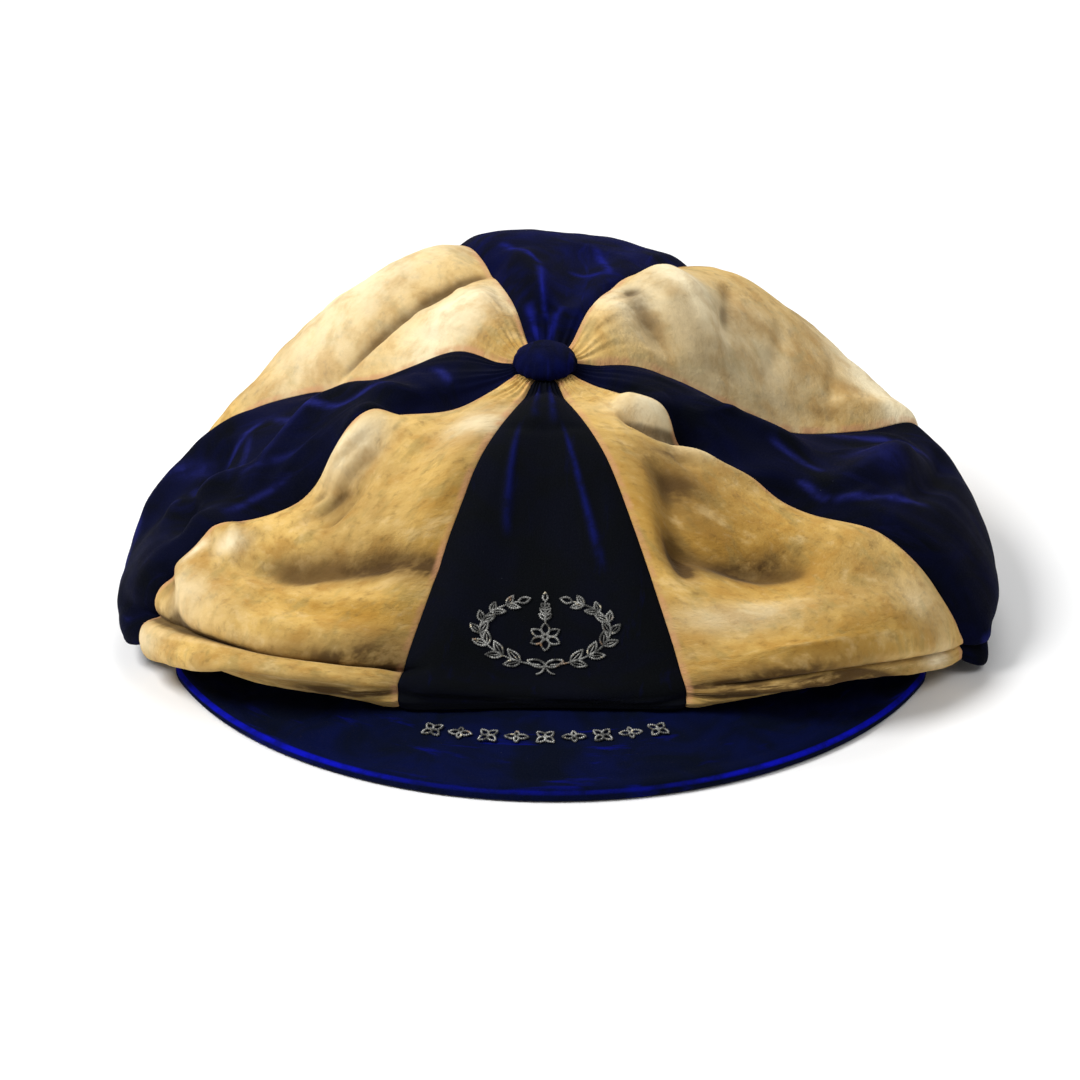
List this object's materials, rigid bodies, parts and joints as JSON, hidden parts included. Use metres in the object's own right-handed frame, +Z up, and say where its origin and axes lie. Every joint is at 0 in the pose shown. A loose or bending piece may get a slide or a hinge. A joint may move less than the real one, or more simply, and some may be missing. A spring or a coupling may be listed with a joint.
{
  "type": "football honours cap",
  "caption": "Soft panelled cap in dark blue velvet and aged gold cloth, with a covered button, a stiff velvet-covered peak and a raised wreath badge.",
  "frame": {"origin": "middle of the whole cap's box, on the surface that it rests on", "axes": "-Y is the wearer's front, where the peak is; +X is the wearer's left; +Z is up"},
  "size_m": [0.2626, 0.2488, 0.0933],
  "materials": {
    "blue_velvet": "worn dark blue velvet, soft sheen on the ridges",
    "gold_cloth": "aged gold plush, rubbed pale on the high places and brown in the creases",
    "band_cloth": "plain dark twill",
    "silver_thread": "tarnished silver bullion thread"
  },
  "bodies": {
    "root": {"panel_front": "blue_velvet", "panel_front_left": "gold_cloth", "panel_left": "blue_velvet", "panel_back_left": "gold_cloth", "panel_back": "blue_velvet", "panel_back_right": "gold_cloth", "panel_right": "blue_velvet", "panel_front_right": "gold_cloth", "headband": "band_cloth", "peak": "blue_velvet", "button": "blue_velvet", "badge": "silver_thread"}
  },
  "joints": []
}
